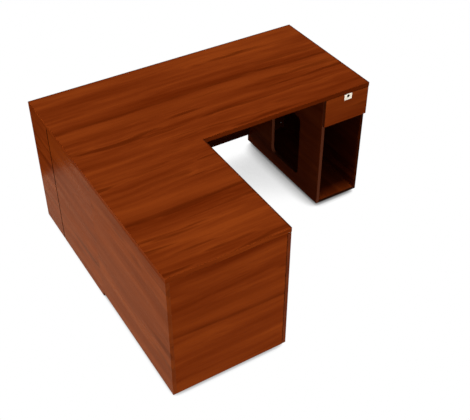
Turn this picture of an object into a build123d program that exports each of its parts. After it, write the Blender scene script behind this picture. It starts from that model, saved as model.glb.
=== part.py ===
from build123d import *
from functools import lru_cache
import os

# Corner desk: an L-shaped worktop on a two-piece left gable, a cupboard return and a narrow
# pedestal with one locking drawer over an open computer bay.  Millimetres, +Z up.
# Origin: on the floor, under the middle of the footprint.  The main leg runs along X at the
# back; the return runs forward, towards -Y, at its left end.

# ------------------------------------------------------------------ overall sizes
desk_length = 1600
desk_depth = 750
return_length = 750
return_width = 600
desk_height = 745
top_thickness = 25
band_thickness = 2
band_arris = 1

# ------------------------------------------------------------------ boards and panels
board = 18
floor_gap = 25               # under the return and the pedestal
rear_gable_width = 236
gable_gap = 9                # shadow gap between the two left gables
splice_width = 80
splice_lift = 10
splice_screw_inset = 80      # from the post's ends to its outer screws
back_panel_lift = 78
rail_width = 80
shelf_height = 372
shelf_setback = 20
shelf_play = 1
pedestal_width = 276
window_width = 274
window_height = 385
window_sill = 80             # from the pedestal's lower edge up to the window
window_setback = 194         # from the pedestal's front edge back to the window
window_corner = 30

# ------------------------------------------------------------------ doors
door_back_gap = 3
door_top_gap = 4
door_bottom_gap = 2
door_side_reveal = 1
door_meeting_gap = 3
pivot_from_back = 11
pivot_from_edge = 8
pivot_pin_radius = 2.5
pivot_pin_length = 11
running_play = 0.05          # radial, between a turning pin and its bush
bush_wall = 1.5
bush_length = 12
bush_flange = 2
bush_flange_thickness = 1.6
plate_thickness = 2
plate_width = 14
plate_length = 50
plate_reach = 40             # how far a bottom pivot plate runs back under the cupboard
plate_hole_inset = 8
plate_hole_spacing = 16
handle_radius = 4.5
handle_centres = 128
handle_standoff = 28
handle_bend = 12
handle_inset = 35
handle_drop = 88             # from the door's top edge down to the handle
handle_thread_depth = 8
catch_length = 40
catch_depth = 14
catch_height = 12
catch_hole_inset = 6
catch_offset = 40
catch_gap = 0.4
catch_plate_length = 30
catch_plate_thickness = 1
bumper_radius = 4
bumper_thickness = 2.5

# ------------------------------------------------------------------ drawer and runners
drawer_reveal = 1.5          # each side of the drawer front
drawer_top_gap = 2
drawer_front_height = 165
box_lift = 8                 # from the panel under the drawer up to the drawer box
box_board = 12
box_bottom_thickness = 5
groove_depth = 6
groove_height = 10
groove_play = 0.2
box_fixing_spread = 30       # dowels and front screws, above and below the runner's line
box_fixing_depth = 9         # how far they go into a box board
box_dowel_grip = 15          # length of a corner dowel in the board it joins
runner_length = 500
runner_setback = 3
runner_thickness = 12.7
runner_height = 45.7
runner_gauge = 1.2
runner_play = 0.3
runner_web_space = 1.6       # room for screw heads between the outer and middle members
runner_tip_clearance = 1.5
runner_lips = 0.4
runner_screw_inset = 35

# ------------------------------------------------------------------ lock
lock_offset = 3              # to the right of the drawer's middle
lock_plate_drop = 0.5        # from the drawer front's top edge down to the plate
lock_plate_width = 48
lock_plate_height = 34
lock_plate_thickness = 2
lock_plate_corner = 3
keyhole_rise = 5             # above the plate's middle
plug_radius = 7
plug_play = 0.08
plug_proud = 0.5
plug_end_gap = 1
case_web = 1.2               # metal left between the plug and the bolt's well
barrel_radius = 9
lock_case_width = 40
lock_case_height = 38
lock_case_depth = 16
lock_case_drop = 1           # from the drawer front's top edge down to the case
lock_box_gap = 6
key_slot_width = 1.8
key_slot_height = 9
key_slot_depth = 4
bolt_width = 18
bolt_thickness = 6
bolt_height = 12
bolt_play = 0.3
bolt_throw = 10
strike_length = 46
strike_width = 16
strike_thickness = 1.2
mortise_play = 1
mortise_extra = 3

# ------------------------------------------------------------------ feet
foot_inset = 75
foot_inset_narrow = 45       # across the pedestal, from its inner faces
pad_radius = 18
pad_thickness = 6
pad_bevel = 1.5
pad_boss_radius = 8
pad_boss_height = 8
stud_radius = 4
stud_socket = 3              # solid plastic left under the stud
stud_top = 12                # how far the stud stands up into the board
insert_wall = 2
insert_length = 15
insert_flange = 3
insert_flange_thickness = 1.2

# ------------------------------------------------------------------ fasteners
screw_radius = 1.75
screw_length = 15
screw_head_radius = 3.3
screw_head_height = 1.2
screw_bite = 12              # how far a long screw goes into the second board
screw_cross_span = 3.4       # driver recess
screw_cross_width = 0.9
hole_play = 0.1
bracket_leg = 30
bracket_width = 20
bracket_thickness = 2
bracket_hole_from_corner = 18
bracket_inset = 100          # from the end of each board to its brackets
cupboard_bracket_inset = 200
cam_radius = 7.5
cam_height = 13
cam_setback = 24
cam_inset = 60
cam_bolt_radius = 3
cam_bolt_depth = 11
cam_bolt_head = 2
cam_cross_span = 8
cam_cross_width = 1.8
cam_cross_depth = 2
dowel_radius = 4
dowel_length = 30
dowel_depth = 12
dowel_inset = 110
stagger = 32                 # keeps fittings apart where two boards meet the same one
pin_radius = 2.5
pin_length = 16
pin_inset = 45

# ------------------------------------------------------------------ planes worked out from them
x_left = -desk_length / 2
x_right = desk_length / 2
y_back = (desk_depth + return_length) / 2
y_front = y_back - desk_depth
y_end = y_front - return_length
x_return = x_left + return_width
z_under = desk_height - top_thickness

x_gable = x_left + board                      # inner face of the left gables
x_door_back = x_return - board
x_cupboard = x_door_back - door_back_gap      # front edges of the cupboard's boards
x_pedestal = x_right - pedestal_width
x_bay_left = x_pedestal + board
x_bay_right = x_right - board
y_carcass = y_front + board                   # front edges of the pedestal's boards
y_rear = y_back - board                       # inner face of the back panels
y_cup_end = y_end + board
y_cup_corner = y_front - board
z_floor_board = floor_gap + board
z_drawer_top = z_under - drawer_top_gap
z_drawer_bottom = z_drawer_top - drawer_front_height
z_lock_plate = z_drawer_top - lock_plate_drop - lock_plate_height / 2       # its middle
z_lock = z_lock_plate + keyhole_rise
z_case = (z_drawer_top - lock_case_drop - lock_case_height, z_drawer_top - lock_case_drop)
z_door_bottom = floor_gap + door_bottom_gap
z_door_top = z_under - door_top_gap
handle_height = z_door_top - handle_drop - handle_centres     # its lower end
x_lock = (x_pedestal + x_right) / 2 + lock_offset

X, Y, Z = Vector(1, 0, 0), Vector(0, 1, 0), Vector(0, 0, 1)

parts = {}     # node name: its solids
holes = {}     # node name: the tools that are cut out of it


def add(node, *solids):
    parts.setdefault(node, []).extend(solids)


def cut(node, *tools):
    holes.setdefault(node, []).extend(tools)


def block(x, y, z):
    """Box between two opposite corners; each argument is a pair of coordinates."""
    (x0, x1), (y0, y1), (z0, z1) = sorted(x), sorted(y), sorted(z)
    return Pos((x0 + x1) / 2, (y0 + y1) / 2, (z0 + z1) / 2) * Box(x1 - x0, y1 - y0, z1 - z0)


def rod(start, direction, radius, length):
    """Cylinder that runs from start along direction."""
    base = (Align.CENTER, Align.CENTER, Align.MIN)
    return Plane(origin=start, z_dir=direction) * Cylinder(radius, length, align=base)


def eased(panel, outward):
    """Panel with the arrises of its show face softened."""
    face = panel.faces().sort_by(lambda f: f.center().dot(outward))[-1]
    return fillet(face.edges(), band_arris)


def cross(span, width, depth):
    """Cross-shaped driver recess at the origin, cut along +Z."""
    base = (Align.CENTER, Align.CENTER, Align.MIN)
    return Box(span, width, depth, align=base) + Box(width, span, depth, align=base)


def drill(node, start, direction, radius, length):
    """Hole that opens just before start, so that no skin is left over its mouth."""
    mouth = 0.5
    cut(node, rod(start - direction * mouth, direction, radius, length + mouth))


@lru_cache
def pan_head_screw(length):
    """Screw that points along +Z, with its head seated at the origin."""
    origin = Vector(0, 0, 0)
    body = rod(origin, Z, screw_radius, length) + rod(origin, -Z, screw_head_radius, screw_head_height)
    recess = cross(screw_cross_span, screw_cross_width, screw_head_height)
    return body - Pos(0, 0, -screw_head_height) * recess


def screw(group, at, direction, length, *boards):
    """Screw with its head seated at a surface, drilled into the boards named."""
    add(group, Plane(origin=at, z_dir=direction) * pan_head_screw(length))
    for node in boards:
        drill(node, at, direction, screw_radius + hole_play, length + hole_play)


def screw_hole(at, direction, depth):
    """Clearance hole for a screw through a plate or a fitting."""
    return rod(at - direction, direction, screw_radius + hole_play, depth + 2)


# ------------------------------------------------------------------ board joints
@lru_cache
def cam():
    """Cam whose slotted face lies at the origin; it stands along +Z and its bolt enters along +X."""
    body = rod(Vector(0, 0, 0), Z, cam_radius, cam_height)
    body -= rod(Vector(cam_bolt_head - 1, 0, board / 2), X, cam_bolt_radius + 2 * hole_play, cam_setback)
    return body - cross(cam_cross_span, cam_cross_width, cam_cross_depth)


def cam_joint(panel, mate, at, outward, face):
    """Cam and bolt that pull a panel's edge up to its mate; the cam opens on one face."""
    centre = at - outward * cam_setback
    mouth = centre + face * (board / 2)
    head = centre + outward * cam_bolt_head
    add("cam_locks", Plane(origin=mouth, x_dir=outward, z_dir=-face) * cam())
    bolt_length = cam_setback - cam_bolt_head + cam_bolt_depth
    add("cam_bolts", rod(head, outward, cam_bolt_radius, bolt_length))
    drill(panel, mouth, -face, cam_radius + hole_play, cam_height + hole_play)
    drill(panel, at, -outward, cam_bolt_radius + hole_play, cam_setback)
    drill(mate, at, outward, cam_bolt_radius + hole_play, cam_bolt_depth + hole_play)


def dowel(panel, mate, at, outward):
    """Wooden dowel across the seam at a point on the panel's edge."""
    inside = dowel_length - dowel_depth
    add("wood_dowels", rod(at - outward * inside, outward, dowel_radius, dowel_length))
    drill(panel, at, -outward, dowel_radius + hole_play, inside + hole_play)
    drill(mate, at, outward, dowel_radius + hole_play, dowel_depth + hole_play)


def join(panel, mate, start, end, outward, face, shift=0):
    """Two cams and two dowels along the panel's edge, which runs from start to end."""
    along = (end - start).normalized()
    for at, step in ((start, along), (end, -along)):
        cam_joint(panel, mate, at + step * (cam_inset + shift), outward, face)
        dowel(panel, mate, at + step * (dowel_inset + shift), outward)


def bracket(panel, corner, normal):
    """Steel angle under the worktop; normal points away from the panel's face."""
    place = Plane(origin=corner, x_dir=normal, z_dir=Z)
    leg = (0, bracket_leg)
    side = (-bracket_width / 2, bracket_width / 2)
    angle = block(leg, side, (-bracket_thickness, 0))
    angle += block((0, bracket_thickness), side, (-bracket_leg, 0))
    up_at = corner + normal * bracket_hole_from_corner - Z * bracket_thickness
    in_at = corner - Z * bracket_hole_from_corner + normal * bracket_thickness
    body = place * angle
    body -= screw_hole(up_at, Z, bracket_thickness)
    body -= screw_hole(in_at, -normal, bracket_thickness)
    add("corner_brackets", body)
    screw("cabinet_screws", up_at, Z, screw_length, "worktop")
    screw("cabinet_screws", in_at, -normal, screw_length, panel)


# ------------------------------------------------------------------ worktop
def top_outline(inset):
    """Corners of the L, anticlockwise from its front right corner, moved in by inset."""
    return [
        Vector(x_right - inset, y_front + inset),
        Vector(x_right - inset, y_back - inset),
        Vector(x_left + inset, y_back - inset),
        Vector(x_left + inset, y_end + inset),
        Vector(x_return - inset, y_end + inset),
        Vector(x_return - inset, y_front + inset),
    ]


def prism(points, bottom, height):
    outline = Polyline(*[Vector(p.X, p.Y, bottom) for p in points], close=True)
    return extrude(make_face(outline), amount=height, dir=(0, 0, 1))


def worktop():
    add("worktop", prism(top_outline(band_thickness), z_under, top_thickness))


def edge_bands():
    """Mitred strips round the worktop, with their outer arrises eased."""
    outer = top_outline(0)
    inner = top_outline(band_thickness)
    ease = min(band_arris, band_thickness / 2)
    for i in range(len(outer)):
        j = (i + 1) % len(outer)
        strip = prism([outer[i], outer[j], inner[j], inner[i]], z_under, top_thickness)
        run = (outer[j] - outer[i]).normalized()
        outward = Vector(run.Y, -run.X)
        face = strip.faces().sort_by(lambda f: f.normal_at().dot(outward))[-1]
        long_edges = [e for e in face.edges() if abs(e.tangent_at(0).Z) < 0.5]
        add("worktop_edge_bands", fillet(long_edges, ease))


# ------------------------------------------------------------------ left end and back
def left_end():
    y_seam = y_back - rear_gable_width
    y_gap_mid = y_seam - gable_gap / 2
    add("left_gable_rear", block((x_left, x_gable), (y_seam, y_back), (0, z_under)))
    add("left_gable_front", block((x_left, x_gable), (y_front, y_seam - gable_gap), (0, z_under)))
    half = splice_width / 2
    x_splice = x_gable + board
    add("gable_splice_post", block((x_gable, x_splice), (y_gap_mid - half, y_gap_mid + half),
                                   (splice_lift, z_under)))
    for z in (splice_lift + splice_screw_inset, z_under / 2, z_under - splice_screw_inset):
        for side, gable in ((-1, "left_gable_front"), (1, "left_gable_rear")):
            at = Vector(x_splice, y_gap_mid + side * half / 2, z)
            screw("cabinet_screws", at, -X, board + screw_bite, "gable_splice_post", gable)
    bracket("left_gable_rear", Vector(x_gable, y_seam + rear_gable_width / 2, z_under), X)
    for y in (y_front + bracket_inset, y_seam - gable_gap - bracket_inset):
        bracket("left_gable_front", Vector(x_gable, y, z_under), X)


def main_back():
    y_mid = y_back - board / 2
    add("back_panel", block((x_gable, x_pedestal), (y_rear, y_back), (back_panel_lift, z_under)))
    for x, mate, outward in ((x_gable, "left_gable_rear", -X), (x_pedestal, "pedestal_left_side", X)):
        start = Vector(x, y_mid, back_panel_lift)
        join("back_panel", mate, start, Vector(x, y_mid, z_under), outward, -Y, stagger)
    for x in (x_gable + bracket_inset, (x_gable + x_pedestal) / 2, x_pedestal - bracket_inset):
        bracket("back_panel", Vector(x, y_rear, z_under), -Y)


# ------------------------------------------------------------------ return cupboard
cupboard_ends = (
    (y_cup_end, "return_end_panel", -Y),
    (y_cup_corner, "return_corner_side", Y),
)


def return_cabinet():
    height = (floor_gap, z_under)
    add("return_outer_side", block((x_left, x_gable), (y_end, y_front), height))
    add("return_end_panel", block((x_gable, x_cupboard), (y_end, y_cup_end), height))
    add("return_corner_side", block((x_gable, x_cupboard), (y_cup_corner, y_front), height))
    inside = (y_cup_end, y_cup_corner)
    add("return_bottom", block((x_gable, x_cupboard), inside, (floor_gap, z_floor_board)))
    rail = (x_cupboard - rail_width, x_cupboard)
    add("return_front_rail", block(rail, inside, (z_under - board, z_under)))

    z_mid = floor_gap + board / 2
    for y, mate, outward in cupboard_ends:
        join("return_bottom", mate, Vector(x_gable, y, z_mid), Vector(x_cupboard, y, z_mid), outward, -Z)
        for x in (x_cupboard - rail_width / 4, x_cupboard - rail_width * 3 / 4):
            dowel("return_front_rail", mate, Vector(x, y, z_under - board / 2), outward)
        y_mid = y + outward.Y * board / 2
        low = Vector(x_gable, y_mid, floor_gap)
        join(mate, "return_outer_side", low, Vector(x_gable, y_mid, z_under), -X, -outward)
        bracket(mate, Vector(x_gable + cupboard_bracket_inset, y, z_under), -outward)
    join("return_bottom", "return_outer_side", Vector(x_gable, y_cup_end, z_mid),
         Vector(x_gable, y_cup_corner, z_mid), -X, -Z)

    # dowels that line the cupboard's outer side up with the main gable
    reach = dowel_inset + stagger
    for z in (floor_gap + reach, z_under - reach):
        dowel("return_outer_side", "left_gable_front", Vector(x_gable - board / 2, y_front, z), Y)
    for y in (y_cup_end + cupboard_bracket_inset, y_cup_corner - cupboard_bracket_inset):
        bracket("return_outer_side", Vector(x_gable, y, z_under), X)
        at = Vector(x_cupboard - rail_width / 2, y, z_under - board)
        screw("cabinet_screws", at, Z, board + screw_bite, "return_front_rail", "worktop")


def shelf():
    x_front = x_cupboard - shelf_setback
    across = (y_cup_end + shelf_play, y_cup_corner - shelf_play)
    height = (shelf_height, shelf_height + board)
    add("return_shelf", block((x_gable + shelf_play, x_front), across, height))
    for y, mate, outward in cupboard_ends:
        for x in (x_gable + pin_inset, x_front - pin_inset):
            at = Vector(x, y, shelf_height - pin_radius)
            add("shelf_pins", rod(at + outward * (pin_length / 2), -outward, pin_radius, pin_length))
            drill(mate, at, outward, pin_radius + hole_play, pin_length / 2 + hole_play)


# ------------------------------------------------------------------ doors
def door(name, y_hinge, y_free):
    """One door with its bushes, handle and catch plate, and the fixed fittings it works with."""
    inward = 1 if y_free > y_hinge else -1
    panel = block((x_door_back, x_return), (y_hinge, y_free), (z_door_bottom, z_door_top))
    add(name, eased(panel, X))
    pivot = Vector(x_door_back + pivot_from_back, y_hinge + inward * pivot_from_edge)
    pivot_plates(name, pivot, inward)
    handle(name, y_free - inward * handle_inset)
    catch(name, y_free - inward * (catch_offset - door_meeting_gap / 2))


def pivot_plates(name, pivot, inward):
    """Bushes in the door's edges, and the plates whose pins they turn on."""
    bore = pivot_pin_radius + running_play
    outer = bore + bush_wall
    for z, into in ((z_door_bottom, Z), (z_door_top, -Z)):
        mouth = Vector(pivot.X, pivot.Y, z)
        sleeve = rod(mouth, into, outer, bush_length)
        start = mouth
        if into.Z > 0:
            start = mouth - into * bush_flange_thickness
            sleeve += rod(start, into, outer + bush_flange, bush_flange_thickness)
        add(name + "_bushes", sleeve - rod(start - into, into, bore, bush_length + 5))
        drill(name, mouth, into, outer + hole_play, bush_length + hole_play)

    near = pivot.Y - inward * plate_width / 2
    far = near + inward * plate_length
    z_plate = z_under - plate_thickness
    plate_x = (pivot.X - plate_width / 2, pivot.X + plate_width / 2)
    top_plate = block(plate_x, (near, far), (z_plate, z_under))
    pin_top = Vector(pivot.X, pivot.Y, z_plate)
    top_plate += rod(pin_top, -Z, pivot_pin_radius, z_plate - z_door_top + pivot_pin_length)
    for step in (plate_hole_inset, plate_hole_inset + plate_hole_spacing):
        at = Vector(pivot.X, far - inward * step, z_plate)
        top_plate -= screw_hole(at, Z, plate_thickness)
        screw("cabinet_screws", at, Z, screw_length, "worktop")
    add("top_pivot_plates", top_plate)

    z_plate = floor_gap - plate_thickness
    x_heel = x_cupboard - plate_reach
    low_plate = block((x_heel, pivot.X + plate_width / 2), (near, far), (z_plate, floor_gap))
    pin_low = Vector(pivot.X, pivot.Y, floor_gap)
    low_plate += rod(pin_low, Z, pivot_pin_radius, z_door_bottom - floor_gap + pivot_pin_length)
    for step in (plate_hole_inset, plate_hole_inset + plate_hole_spacing):
        at = Vector(x_heel + step, far - inward * plate_hole_inset, z_plate)
        low_plate -= screw_hole(at, Z, plate_thickness)
        screw("cabinet_screws", at, Z, screw_length, "return_bottom")
    add("bottom_pivot_plates", low_plate)


def handle(name, y):
    """Bow handle: two posts and a grip in one bent rod, screwed on through the door."""
    ends = [Vector(x_return, y, handle_height), Vector(x_return, y, handle_height + handle_centres)]
    out = X * handle_standoff
    path = FilletPolyline(ends[0], ends[0] + out, ends[1] + out, ends[1], radius=handle_bend)
    grip = sweep(Plane(origin=ends[0], z_dir=X) * Circle(handle_radius), path=path)
    for at in ends:
        back = at - X * board
        grip -= rod(at - X, X, screw_radius + hole_play, handle_thread_depth + 1)
        screw(name + "_handle_screws", back, X, board + handle_thread_depth - hole_play, name)
    add(name + "_handle", grip)


def catch(name, y):
    """Magnet under the front rail and its steel plate on the door."""
    x_plate = x_door_back - catch_plate_thickness
    x_face = x_plate - catch_gap
    z_rail = z_under - board
    half = catch_length / 2
    body = block((x_face - catch_depth, x_face), (y - half, y + half), (z_rail - catch_height, z_rail))
    for side in (-1, 1):
        at = Vector(x_face - catch_depth / 2, y + side * (half - catch_hole_inset), z_rail - catch_height)
        body -= screw_hole(at, Z, catch_height)
        screw("cabinet_screws", at, Z, catch_height + screw_bite, "return_front_rail")
    add("magnetic_catches", body)
    half_plate = catch_plate_length / 2
    plate_y = (y - half_plate, y + half_plate)
    add(name + "_catch_plate", block((x_plate, x_door_back), plate_y, (z_rail - catch_height, z_rail)))
    at = Vector(x_cupboard, y, floor_gap + board / 2)
    add("door_bumpers", rod(at, X, bumper_radius, bumper_thickness))


def doors():
    y_mid = (y_end + y_front) / 2
    half_gap = door_meeting_gap / 2
    door("door_end", y_end + door_side_reveal, y_mid - half_gap)
    door("door_corner", y_front - door_side_reveal, y_mid + half_gap)


# ------------------------------------------------------------------ pedestal
def pedestal():
    depth = (y_carcass, y_back)
    height = (floor_gap, z_under)
    inside = (x_bay_left, x_bay_right)
    add("pedestal_left_side", block((x_pedestal, x_bay_left), depth, height))
    add("pedestal_right_side", block((x_bay_right, x_right), depth, height))
    add("pedestal_back", block(inside, (y_rear, y_back), height))
    add("pedestal_bottom", block(inside, (y_carcass, y_rear), (floor_gap, z_floor_board)))
    z_dust_panel = z_drawer_bottom - board
    add("drawer_dust_panel", block(inside, (y_carcass, y_rear), (z_dust_panel, z_drawer_bottom)))

    y_window = y_carcass + window_setback + window_width / 2
    z_window = floor_gap + window_sill + window_height / 2
    face = Plane(origin=(x_pedestal - 1, y_window, z_window), x_dir=Y, z_dir=X)
    outline = face * RectangleRounded(window_width, window_height, window_corner)
    cut("pedestal_left_side", extrude(outline, amount=board + 2))

    y_mid = y_back - board / 2
    sides = ((x_bay_left, "pedestal_left_side", -X), (x_bay_right, "pedestal_right_side", X))
    levels = (("pedestal_bottom", floor_gap), ("drawer_dust_panel", z_dust_panel))
    for x, mate, outward in sides:
        for panel, z_low in levels:
            z = z_low + board / 2
            join(panel, mate, Vector(x, y_carcass, z), Vector(x, y_rear, z), outward, -Z)
        join("pedestal_back", mate, Vector(x, y_mid, floor_gap), Vector(x, y_mid, z_under), outward, -Y)
        for y in (y_carcass + bracket_inset, y_rear - bracket_inset):
            bracket(mate, Vector(x, y, z_under), -outward)


# ------------------------------------------------------------------ drawer
box_x = (x_bay_left + runner_thickness, x_bay_right - runner_thickness)
box_y = (y_carcass, y_carcass + runner_setback + runner_length)
box_z = (z_drawer_bottom + box_lift, z_case[0] - lock_box_gap)
z_runner = (box_z[0] + box_z[1]) / 2


def drawer():
    inner_x = (box_x[0] + box_board, box_x[1] - box_board)
    front_x = (x_pedestal + drawer_reveal, x_right - drawer_reveal)
    front = block(front_x, (y_front, y_carcass), (z_drawer_bottom, z_drawer_top))
    add("drawer_front", eased(front, -Y))
    add("drawer_left_side", block((box_x[0], inner_x[0]), box_y, box_z))
    add("drawer_right_side", block((inner_x[1], box_x[1]), box_y, box_z))
    add("drawer_box_front", block(inner_x, (box_y[0], box_y[0] + box_board), box_z))
    add("drawer_box_back", block(inner_x, (box_y[1] - box_board, box_y[1]), box_z))

    # the bottom slides in a groove that runs round all four boards
    z0 = box_z[0] + groove_height
    z1 = z0 + box_bottom_thickness
    bottom_y = (box_y[0] + box_board - groove_depth, box_y[1] - box_board + groove_depth)
    bottom_x = (inner_x[0] - groove_depth, inner_x[1] + groove_depth)
    add("drawer_bottom", block(bottom_x, bottom_y, (z0, z1)))
    groove = block((bottom_x[0] - groove_play, bottom_x[1] + groove_play),
                   (bottom_y[0] - groove_play, bottom_y[1] + groove_play), (z0, z1))
    for node in ("drawer_left_side", "drawer_right_side", "drawer_box_front", "drawer_box_back"):
        cut(node, groove)

    # corner dowels of the box, and the screws that hold the show front
    y_front_board = box_y[0] + box_board / 2
    y_back_board = box_y[1] - box_board / 2
    for z in (z_runner - box_fixing_spread, z_runner + box_fixing_spread):
        for panel, y in (("drawer_box_front", y_front_board), ("drawer_box_back", y_back_board)):
            box_dowel(panel, "drawer_left_side", Vector(inner_x[0], y, z), -X)
            box_dowel(panel, "drawer_right_side", Vector(inner_x[1], y, z), X)
        for x in (inner_x[0] + pin_inset, inner_x[1] - pin_inset):
            at = Vector(x, box_y[0] + box_board, z)
            screw("drawer_screws", at, -Y, box_board + screw_bite, "drawer_box_front", "drawer_front")


def box_dowel(panel, mate, at, outward):
    """Short dowel at a corner of the drawer box."""
    whole = box_dowel_grip + box_fixing_depth
    add("drawer_dowels", rod(at - outward * box_dowel_grip, outward, pin_radius, whole))
    drill(panel, at, -outward, pin_radius + hole_play, box_dowel_grip + hole_play)
    drill(mate, at, outward, pin_radius + hole_play, box_fixing_depth + hole_play)


def channel(web, tip, half_height, y):
    """C-shaped runner member: the outer face of its web at x=web, its flanges out to x=tip."""
    side = 1 if tip > web else -1
    skin = block((web, tip), y, (z_runner - half_height, z_runner + half_height))
    inside = half_height - runner_gauge
    return skin - block((web + side * runner_gauge, tip + side), (y[0] - 1, y[1] + 1),
                        (z_runner - inside, z_runner + inside))


def runner(side_name, x_wall, side, cabinet_board, drawer_board):
    """Three nested members: outer on the cabinet, inner on the drawer, middle between them."""
    y = (y_carcass + runner_setback, y_carcass + runner_setback + runner_length)
    half = runner_height / 2
    step = runner_gauge + runner_play
    x_drawer = x_wall + side * runner_thickness
    x_middle = x_wall + side * (runner_gauge + runner_web_space)
    x_head = x_wall + side * runner_gauge
    x_inner_tip = x_middle + side * (runner_gauge + runner_lips)
    outer = channel(x_wall, x_drawer - side * (runner_tip_clearance * 2), half, y)
    middle = channel(x_middle, x_drawer - side * runner_tip_clearance, half - step, y)
    inner = channel(x_drawer, x_inner_tip, half - 2 * step, y)
    x_web = x_drawer - side * runner_gauge
    for along in (y[0] + runner_screw_inset, sum(y) / 2, y[1] - runner_screw_inset):
        fixed = Vector(x_head, along, z_runner)
        outer -= screw_hole(fixed, X * -side, runner_gauge)
        screw("cabinet_screws", fixed, X * -side, screw_length, cabinet_board)
        moving = Vector(x_web, along, z_runner)
        inner -= screw_hole(moving, X * side, runner_gauge)
        screw("drawer_screws", moving, X * side, runner_gauge + box_fixing_depth, drawer_board)
    add("runner_" + side_name + "_outer", outer)
    add("runner_" + side_name + "_middle", middle)
    add("runner_" + side_name + "_inner", inner)


def runners():
    runner("left", x_bay_left, 1, "pedestal_left_side", "drawer_left_side")
    runner("right", x_bay_right, -1, "pedestal_right_side", "drawer_right_side")


# ------------------------------------------------------------------ lock
def lock():
    keyhole = Vector(x_lock, y_front, z_lock)
    bore = plug_radius + plug_play
    outline = RectangleRounded(lock_plate_width, lock_plate_height, lock_plate_corner)
    plate_middle = Vector(x_lock, y_front, z_lock_plate)
    plate = extrude(Plane(origin=plate_middle, x_dir=X, z_dir=-Y) * outline, amount=lock_plate_thickness)
    plate_face = keyhole - Y * lock_plate_thickness
    add("lock_plate", plate - rod(plate_face - Y, Y, bore, lock_plate_thickness + 2))
    drill("drawer_front", keyhole, Y, barrel_radius + hole_play, board + 1)

    y_case = (y_carcass, y_carcass + lock_case_depth)
    y_bolt = y_carcass + lock_case_depth / 2
    y_bore_end = y_bolt - bolt_thickness / 2 - bolt_play - case_web
    half = lock_case_width / 2
    case = block((x_lock - half, x_lock + half), y_case, z_case) + rod(keyhole, Y, barrel_radius, board)
    case -= rod(keyhole - Y, Y, bore, 1 + y_bore_end - y_front)
    bolt_x = (x_lock - bolt_width / 2, x_lock + bolt_width / 2)
    bolt_y = (y_bolt - bolt_thickness / 2, y_bolt + bolt_thickness / 2)
    bolt_z = (z_case[1] - bolt_height, z_case[1])
    well_x = (bolt_x[0] - bolt_play, bolt_x[1] + bolt_play)
    well_y = (bolt_y[0] - bolt_play, bolt_y[1] + bolt_play)
    case -= block(well_x, well_y, (bolt_z[0] - bolt_play, bolt_z[1] + 1))
    add("lock_case", case)
    add("lock_bolt", block(bolt_x, bolt_y, bolt_z))

    face = plate_face - Y * plug_proud
    plug = rod(face, Y, plug_radius, y_bore_end - plug_end_gap - face.Y)
    slot_x = (x_lock - key_slot_width / 2, x_lock + key_slot_width / 2)
    slot_z = (z_lock - key_slot_height / 2, z_lock + key_slot_height / 2)
    slot = block(slot_x, (face.Y - 1, face.Y + key_slot_depth), slot_z)
    add("lock_cylinder", plug - slot)
    strike(bolt_x, bolt_y, y_bolt, z_case[1])
    for side in (-1, 1):
        at = Vector(x_lock + side * (half - screw_head_radius - 1), y_case[1], sum(z_case) / 2)
        cut("lock_case", screw_hole(at, -Y, lock_case_depth))
        screw("drawer_screws", at, -Y, lock_case_depth + screw_bite, "drawer_front")


def strike(bolt_x, bolt_y, y_bolt, z_bolt):
    """Steel plate let in under the worktop, with a mortise above it for the bolt."""
    half = strike_length / 2
    hole_x = (bolt_x[0] - mortise_play, bolt_x[1] + mortise_play)
    hole_y = (bolt_y[0] - mortise_play, bolt_y[1] + mortise_play)
    z_plate = z_under + strike_thickness
    mortise = block(hole_x, hole_y, (z_under - 1, z_bolt + bolt_throw + mortise_extra))
    recess = block((x_lock - half, x_lock + half), (y_bolt - strike_width / 2, y_bolt + strike_width / 2),
                   (z_under, z_plate))
    plate = recess - mortise
    for side in (-1, 1):
        at = Vector(x_lock + side * (half - screw_head_radius - mortise_play), y_bolt, z_under)
        plate -= screw_hole(at, Z, strike_thickness)
        screw("cabinet_screws", at, Z, screw_length, "worktop")
    add("strike_plate", plate)
    cut("worktop", mortise, recess)


# ------------------------------------------------------------------ feet
def foot(x, y, board_node):
    floor = Vector(x, y, 0)
    stud_start = Vector(x, y, stud_socket)
    stud_end = floor_gap + stud_top
    stud_height = stud_end - stud_socket
    pad = rod(floor, Z, pad_radius, pad_thickness)
    pad = chamfer(pad.edges().sort_by(Axis.Z)[-1], pad_bevel)
    pad += rod(floor, Z, pad_boss_radius, pad_thickness + pad_boss_height)
    add("foot_pads", pad - rod(stud_start, Z, stud_radius + hole_play, stud_height))
    add("foot_studs", rod(stud_start, Z, stud_radius, stud_height))
    under = Vector(x, y, floor_gap)
    bore = stud_radius + hole_play
    tube = rod(under, Z, bore + insert_wall, insert_length)
    tube += rod(under, -Z, bore + insert_wall + insert_flange, insert_flange_thickness)
    add("foot_inserts", tube - rod(under - Z * 5, Z, bore, insert_length + 6))
    drill(board_node, under, Z, bore + insert_wall + hole_play, insert_length + hole_play)


def feet():
    for x in (x_left + foot_inset, x_cupboard - foot_inset):
        for y in (y_end + foot_inset, y_front - foot_inset):
            foot(x, y, "return_bottom")
    for x in (x_bay_left + foot_inset_narrow, x_bay_right - foot_inset_narrow):
        for y in (y_carcass + foot_inset, y_back - foot_inset):
            foot(x, y, "pedestal_bottom")


# ------------------------------------------------------------------ build and write
def write_parts():
    os.makedirs("parts", exist_ok=True)
    for node, shapes in parts.items():
        if node in holes:
            shapes = [shape - holes[node] for shape in shapes]
        solids = [solid for shape in shapes for solid in shape.solids()]
        whole = solids[0] if len(solids) == 1 else Compound(solids)
        export_step(whole, "parts/" + node + ".step")


worktop()
edge_bands()
left_end()
main_back()
return_cabinet()
shelf()
doors()
pedestal()
drawer()
runners()
lock()
feet()
write_parts()
print(len(parts), "nodes")
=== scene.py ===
from math import pi, radians

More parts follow.
